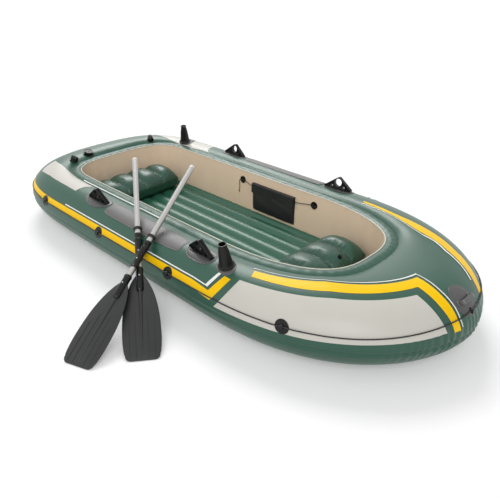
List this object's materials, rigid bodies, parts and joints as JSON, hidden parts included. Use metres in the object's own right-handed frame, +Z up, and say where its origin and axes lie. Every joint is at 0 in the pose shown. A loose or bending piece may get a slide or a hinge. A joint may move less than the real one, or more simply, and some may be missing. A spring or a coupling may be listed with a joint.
{
  "type": "inflatable rowing boat",
  "caption": "Inflatable rowing boat with inner and outer air tubes, a ribbed air floor, seat cushions, oarlocks, rod holders, a grab line and oars that rest over its side.",
  "frame": {"origin": "on the ground under the middle of the hull", "axes": "+X to the bow, +Y to port, +Z up"},
  "size_m": [2.9501, 1.9411, 0.545],
  "materials": {
    "bottom_vinyl": "satin vinyl sheet",
    "floor_vinyl": "satin vinyl film, ribbed by welds",
    "hull_vinyl": "satin vinyl film with welded seams, printed stripes and soft creases",
    "inner_vinyl": "satin vinyl film",
    "patch_vinyl": "satin vinyl, embossed",
    "moulded_black": "moulded, lightly textured",
    "webbing": "moulded soft rubber strap",
    "rope": "braided line",
    "pouch_fabric": "woven fabric",
    "cord": "braided cord",
    "cushion_vinyl": "satin vinyl film with channel welds",
    "blade_plastic": "moulded, satin",
    "shaft_aluminium": "satin drawn tube",
    "ring_rubber": "moulded",
    "cap_plastic": "moulded",
    "button_steel": "turned"
  },
  "bodies": {
    "hull": {"bottom_sheet": "bottom_vinyl", "floor_chamber": "floor_vinyl", "outer_chamber": "hull_vinyl", "inner_chamber": "inner_vinyl", "rub_pad_port": "patch_vinyl", "rub_pad_starboard": "patch_vinyl", "oarlock_patch_port_fwd": "patch_vinyl", "oarlock_patch_port_aft": "patch_vinyl", "oarlock_patch_starboard_fwd": "patch_vinyl", "oarlock_patch_starboard_aft": "patch_vinyl", "oarlock_port_fwd": "moulded_black", "oarlock_port_aft": "moulded_black", "oarlock_starboard_fwd": "moulded_black", "oarlock_starboard_aft": "moulded_black", "rod_holder_patch_port": "patch_vinyl", "rod_holder_patch_starboard": "patch_vinyl", "rod_holder_port": "moulded_black", "rod_holder_starboard": "moulded_black", "bow_patch": "patch_vinyl", "bow_handle": "webbing", "bow_rope_lug": "moulded_black", "motor_mount_port": "moulded_black", "motor_mount_starboard": "moulded_black", "valve_base": "moulded_black", "valve_insert": "moulded_black", "floor_valve_base": "moulded_black", "grab_line": "rope", "rope_holders_port": "moulded_black", "rope_holders_starboard": "moulded_black", "pouch": "pouch_fabric", "pouch_cord_fwd": "cord", "pouch_cord_aft": "cord", "pouch_holder_fwd": "moulded_black", "pouch_holder_aft": "moulded_black"},
    "valve_cap": {"valve_cap": "moulded_black"},
    "floor_valve_plug": {"floor_valve_plug": "moulded_black"},
    "pouch_flap": {"pouch_flap": "pouch_fabric"},
    "bow_cushion": {"bow_cushion": "cushion_vinyl", "bow_cushion_valve": "moulded_black"},
    "bow_cushion_plug": {"bow_cushion_plug": "moulded_black"},
    "stern_cushion": {"stern_cushion": "cushion_vinyl", "stern_cushion_valve": "moulded_black"},
    "stern_cushion_plug": {"stern_cushion_plug": "moulded_black"},
    "lower_oar": {"lower_oar_blade": "blade_plastic", "lower_oar_shaft_lower": "shaft_aluminium", "lower_oar_shaft_upper": "shaft_aluminium", "lower_oar_sleeve": "moulded_black", "lower_oar_end_cap": "cap_plastic"},
    "lower_oar_drip_ring": {"lower_oar_drip_ring": "ring_rubber"},
    "lower_oar_blade_button": {"lower_oar_blade_button": "button_steel"},
    "lower_oar_sleeve_button": {"lower_oar_sleeve_button": "button_steel"},
    "upper_oar": {"upper_oar_blade": "blade_plastic", "upper_oar_shaft_lower": "shaft_aluminium", "upper_oar_shaft_upper": "shaft_aluminium", "upper_oar_sleeve": "moulded_black", "upper_oar_end_cap": "cap_plastic"},
    "upper_oar_drip_ring": {"upper_oar_drip_ring": "ring_rubber"},
    "upper_oar_blade_button": {"upper_oar_blade_button": "button_steel"},
    "upper_oar_sleeve_button": {"upper_oar_sleeve_button": "button_steel"}
  },
  "joints": [
    {"name": "valve_cap_hinge", "type": "hinge", "parent": "hull", "child": "valve_cap", "pos_m": [1.39755, 0, 0.31325], "axis": [0, -1, 0], "range_deg": [0, 110]},
    {"name": "floor_valve_plug_hinge", "type": "hinge", "parent": "hull", "child": "floor_valve_plug", "pos_m": [-0.701, -0.291, 0.0676], "axis": [0, -1, 0], "range_deg": [0, 120]},
    {"name": "pouch_flap_hinge", "type": "hinge", "parent": "hull", "child": "pouch_flap", "pos_m": [0.0175, 0.3827, 0.2503], "axis": [-1, 0, 0], "range_deg": [0, 85]},
    {"name": "bow_cushion_lift", "type": "slide", "parent": "hull", "child": "bow_cushion", "axis": [0, 0, 1], "range_m": [0, 0.25]},
    {"name": "bow_cushion_plug_hinge", "type": "hinge", "parent": "bow_cushion", "child": "bow_cushion_plug", "pos_m": [0.73858, 0.07327, 0.20092], "axis": [0.0227, -0.9997, 0], "range_deg": [0, 120]},
    {"name": "stern_cushion_lift", "type": "slide", "parent": "hull", "child": "stern_cushion", "axis": [0, 0, 1], "range_m": [0, 0.25]},
    {"name": "stern_cushion_plug_hinge", "type": "hinge", "parent": "stern_cushion", "child": "stern_cushion_plug", "pos_m": [-1.02158, 0.07327, 0.20092], "axis": [0.0227, 0.9997, 0], "range_deg": [0, 120]},
    {"name": "lower_oar_slide", "type": "slide", "parent": "hull", "child": "lower_oar", "axis": [-1, 0, 0], "range_m": [0, 0.15]},
    {"name": "upper_oar_lift", "type": "slide", "parent": "hull", "child": "upper_oar", "axis": [0, 0, 1], "range_m": [0, 0.25]},
    {"name": "lower_oar_drip_ring_slide", "type": "slide", "parent": "lower_oar", "child": "lower_oar_drip_ring", "axis": [-0.7238, 0.5356, 0.435], "range_m": [0, 0.06]},
    {"name": "lower_oar_blade_button_press", "type": "slide", "parent": "lower_oar", "child": "lower_oar_blade_button", "axis": [-0.3497, 0.2588, -0.9004], "range_m": [0, 0.0035], "stiffness_N_per_m": 800, "springref_m": -0.002},
    {"name": "lower_oar_sleeve_button_press", "type": "slide", "parent": "lower_oar", "child": "lower_oar_sleeve_button", "axis": [-0.3497, 0.2588, -0.9004], "range_m": [0, 0.0035], "stiffness_N_per_m": 800, "springref_m": -0.002},
    {"name": "upper_oar_drip_ring_slide", "type": "slide", "parent": "upper_oar", "child": "upper_oar_drip_ring", "axis": [-0.3181, 0.8419, 0.4358], "range_m": [-0.02, 0.06]},
    {"name": "upper_oar_blade_button_press", "type": "slide", "parent": "upper_oar", "child": "upper_oar_blade_button", "axis": [-0.1541, 0.4077, -0.9], "range_m": [0, 0.0035], "stiffness_N_per_m": 800, "springref_m": -0.002},
    {"name": "upper_oar_sleeve_button_press", "type": "slide", "parent": "upper_oar", "child": "upper_oar_sleeve_button", "axis": [-0.1541, 0.4077, -0.9], "range_m": [0, 0.0035], "stiffness_N_per_m": 800, "springref_m": -0.002}
  ]
}
